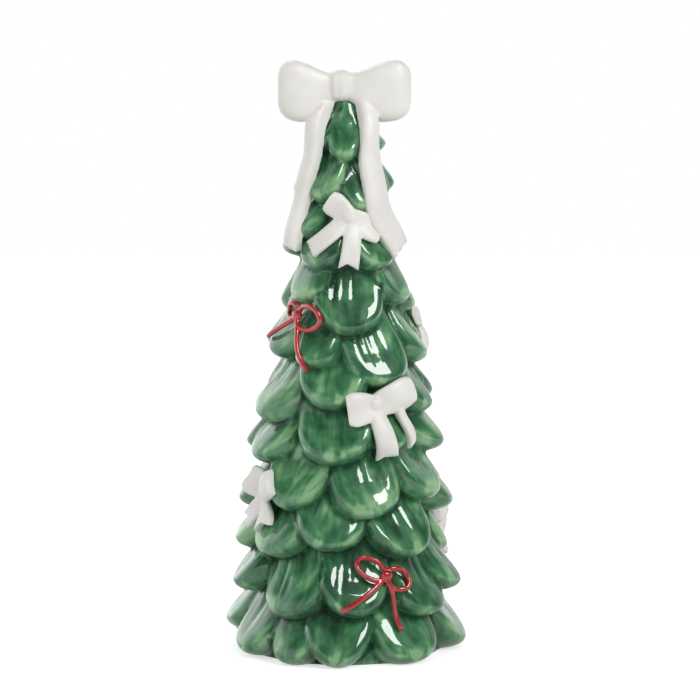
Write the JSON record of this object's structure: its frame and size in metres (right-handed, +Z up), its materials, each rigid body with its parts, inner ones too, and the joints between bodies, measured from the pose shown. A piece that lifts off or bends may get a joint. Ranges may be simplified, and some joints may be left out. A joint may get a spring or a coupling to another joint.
{
  "type": "tabletop christmas tree",
  "caption": "Hollow glazed ceramic Christmas tree of overlapping boughs, with modelled clay ribbon bows on its tip and boughs.",
  "frame": {"origin": "centre of the foot, on the table", "axes": "+Z up the trunk, -Y out of the front, where the crown bow and its tails face"},
  "size_m": [0.125, 0.1265, 0.3039],
  "materials": {
    "green_glaze": "glossy translucent glaze over brushed underglaze",
    "white_glaze": "glossy opaque glaze",
    "red_glaze": "glossy opaque glaze"
  },
  "bodies": {
    "root": {"tree_body": "green_glaze", "crown_knot": "white_glaze", "crown_loop_left": "white_glaze", "crown_loop_right": "white_glaze", "crown_tail_left": "white_glaze", "crown_tail_right": "white_glaze", "front_bow_knot": "white_glaze", "front_bow_loop_left": "white_glaze", "front_bow_loop_right": "white_glaze", "front_bow_tail_left": "white_glaze", "front_bow_tail_right": "white_glaze", "right_bow_knot": "white_glaze", "right_bow_loop_left": "white_glaze", "right_bow_loop_right": "white_glaze", "right_bow_tail_left": "white_glaze", "right_bow_tail_right": "white_glaze", "left_bow_knot": "white_glaze", "left_bow_loop_left": "white_glaze", "left_bow_loop_right": "white_glaze", "left_bow_tail_left": "white_glaze", "left_bow_tail_right": "white_glaze", "far_right_bow_knot": "white_glaze", "far_right_bow_loop_left": "white_glaze", "far_right_bow_loop_right": "white_glaze", "far_right_bow_tail_left": "white_glaze", "far_right_bow_tail_right": "white_glaze", "upper_right_bow_knot": "white_glaze", "upper_right_bow_loop_left": "white_glaze", "upper_right_bow_loop_right": "white_glaze", "upper_right_bow_tail_left": "white_glaze", "upper_right_bow_tail_right": "white_glaze", "left_red_bow_knot": "red_glaze", "left_red_bow_loop_left": "red_glaze", "left_red_bow_loop_right": "red_glaze", "left_red_bow_tail_left": "red_glaze", "left_red_bow_tail_right": "red_glaze", "right_red_bow_knot": "red_glaze", "right_red_bow_loop_left": "red_glaze", "right_red_bow_loop_right": "red_glaze", "right_red_bow_tail_left": "red_glaze", "right_red_bow_tail_right": "red_glaze"}
  },
  "joints": []
}
